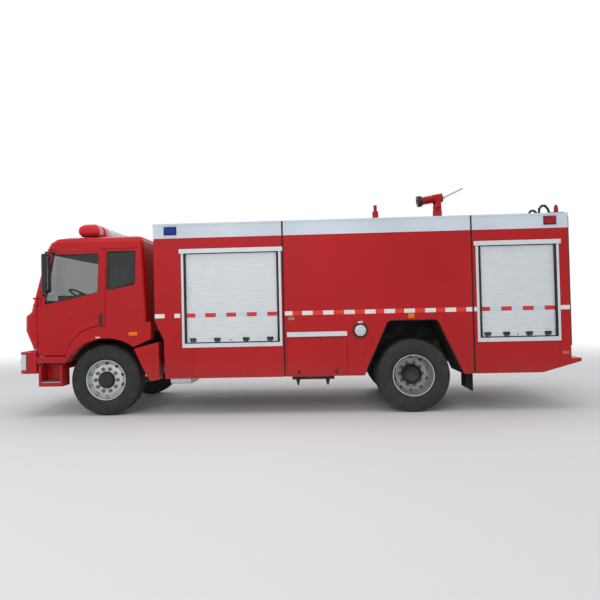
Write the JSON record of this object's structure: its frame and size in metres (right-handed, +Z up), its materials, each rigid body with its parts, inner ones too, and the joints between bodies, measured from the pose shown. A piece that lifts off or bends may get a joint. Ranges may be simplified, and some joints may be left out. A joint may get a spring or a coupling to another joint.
{
  "type": "fire truck",
  "caption": "Red water-tender fire truck: tilting cab with hinged doors, body modules with slatted shutters, lockers, rear ladder and roof water monitor.",
  "frame": {"origin": "on the ground, midway between the front bumper and the rear step, on the centre plane", "axes": "+X forward, +Y to the truck's left, +Z up"},
  "size_m": [8.1598, 2.965, 3.4557],
  "materials": {
    "red_paint": "gloss paint",
    "white_fascia": "gloss paint",
    "shutter_aluminium": "anodised slats",
    "frame_black": "satin chassis paint",
    "black_plastic": "fine grain",
    "tyre_rubber": "road tyre",
    "wheel_silver": "silver paint",
    "tinted_glass": "grey tint",
    "clear_lens": "clear moulded lens",
    "blue_lens": "moulded lens",
    "red_lens": "moulded lens",
    "liner_rubber": "matte",
    "interior_grey": "moulded trim",
    "seat_cloth": "woven seat cloth",
    "bright_steel": "stainless tube",
    "cast_iron": "painted casting"
  },
  "bodies": {
    "truck": {"chassis_frame": "frame_black", "axles": "cast_iron", "leaf_springs": "cast_iron", "powertrain": "cast_iron", "front_bumper": "red_paint", "headlamps": "clear_lens", "front_guards": "red_paint", "front_module": "red_paint", "tank_module": "red_paint", "rear_module": "red_paint", "roof_fascia": "white_fascia", "shutter_curtains": "shutter_aluminium", "shutter_frames": "shutter_aluminium", "wheel_housings": "liner_rubber", "locker_gutters": "shutter_aluminium", "fuel_tank": "bright_steel", "rear_step": "red_paint", "rear_ladder": "frame_black", "drain_valves": "bright_steel", "blue_lamps": "blue_lens", "red_lamps": "red_lens", "roof_fittings": "red_paint"},
    "cab": {"cab_front": "red_paint", "cab_roof": "red_paint", "cab_rear_wall": "red_paint", "cab_sides": "red_paint", "cab_arches": "red_paint", "cab_glass": "tinted_glass", "cab_floor": "interior_grey", "dashboard": "interior_grey", "cab_seats": "seat_cloth", "grille": "black_plastic", "light_bar": "red_lens"},
    "left_door": {"door_left": "red_paint", "door_glass_left": "tinted_glass", "door_fittings_left": "black_plastic"},
    "left_flap": {"locker_flap_left": "red_paint"},
    "left_steer": {"knuckle_left": "cast_iron"},
    "front_left_wheel": {"front_tyre_left": "tyre_rubber", "front_rim_left": "wheel_silver"},
    "rear_left_wheel": {"rear_tyre_left": "tyre_rubber", "rear_rim_left": "wheel_silver"},
    "right_door": {"door_right": "red_paint", "door_glass_right": "tinted_glass", "door_fittings_right": "black_plastic"},
    "right_flap": {"locker_flap_right": "red_paint"},
    "right_steer": {"knuckle_right": "cast_iron"},
    "front_right_wheel": {"front_tyre_right": "tyre_rubber", "front_rim_right": "wheel_silver"},
    "rear_right_wheel": {"rear_tyre_right": "tyre_rubber", "rear_rim_right": "wheel_silver"},
    "track_rod": {"tie_rod": "cast_iron"},
    "monitor_base": {"monitor_elbow": "red_paint"},
    "monitor_gun": {"monitor_barrel": "red_paint", "monitor_tiller": "bright_steel"}
  },
  "joints": [
    {"name": "cab_tilt", "type": "hinge", "parent": "truck", "child": "cab", "pos_m": [3.85, 0, 0.95], "axis": [0, 1, 0], "range_deg": [0, 50]},
    {"name": "monitor_turn", "type": "hinge", "parent": "truck", "child": "monitor_base", "pos_m": [-2.395, 0, 3.13], "axis": [0, 0, 1], "continuous": true},
    {"name": "monitor_lift", "type": "hinge", "parent": "monitor_base", "child": "monitor_gun", "pos_m": [-2.395, 0, 3.29], "axis": [0, -1, 0], "range_deg": [-15, 60]},
    {"name": "track_rod_pivot", "type": "hinge", "parent": "left_steer", "child": "track_rod", "pos_m": [2.585, 0.88, 0.388], "axis": [0, 0, 1], "range_deg": [-36, 36]},
    {"name": "left_door_swing", "type": "hinge", "parent": "cab", "child": "left_door", "pos_m": [3.741, 1.238, 1.425], "axis": [0, 0, -1], "range_deg": [0, 70]},
    {"name": "left_flap_lift", "type": "hinge", "parent": "truck", "child": "left_flap", "pos_m": [-0.3675, 1.25, 1.095], "axis": [1, 0, 0], "range_deg": [0, 90]},
    {"name": "left_steering", "type": "hinge", "parent": "truck", "child": "left_steer", "pos_m": [2.765, 0.88, 0.522], "axis": [0, 0, 1], "range_deg": [-36, 36]},
    {"name": "front_left_spin", "type": "hinge", "parent": "left_steer", "child": "front_left_wheel", "pos_m": [2.765, 1.01, 0.522], "axis": [0, 1, 0], "continuous": true},
    {"name": "rear_left_spin", "type": "hinge", "parent": "truck", "child": "rear_left_wheel", "pos_m": [-1.735, 0.93, 0.522], "axis": [0, 1, 0], "continuous": true},
    {"name": "right_door_swing", "type": "hinge", "parent": "cab", "child": "right_door", "pos_m": [3.741, -1.238, 1.425], "axis": [0, 0, 1], "range_deg": [0, 70]},
    {"name": "right_flap_lift", "type": "hinge", "parent": "truck", "child": "right_flap", "pos_m": [-0.3675, -1.25, 1.095], "axis": [-1, 0, 0], "range_deg": [0, 90]},
    {"name": "right_steering", "type": "hinge", "parent": "truck", "child": "right_steer", "pos_m": [2.765, -0.88, 0.522], "axis": [0, 0, 1], "range_deg": [-36, 36]},
    {"name": "front_right_spin", "type": "hinge", "parent": "right_steer", "child": "front_right_wheel", "pos_m": [2.765, -1.01, 0.522], "axis": [0, 1, 0], "continuous": true},
    {"name": "rear_right_spin", "type": "hinge", "parent": "truck", "child": "rear_right_wheel", "pos_m": [-1.735, -0.93, 0.522], "axis": [0, 1, 0], "continuous": true}
  ],
  "couplings": [
    {"joint": "right_steering", "follows": "left_steering", "ratio": 1},
    {"joint": "track_rod_pivot", "follows": "left_steering", "ratio": -1}
  ]
}
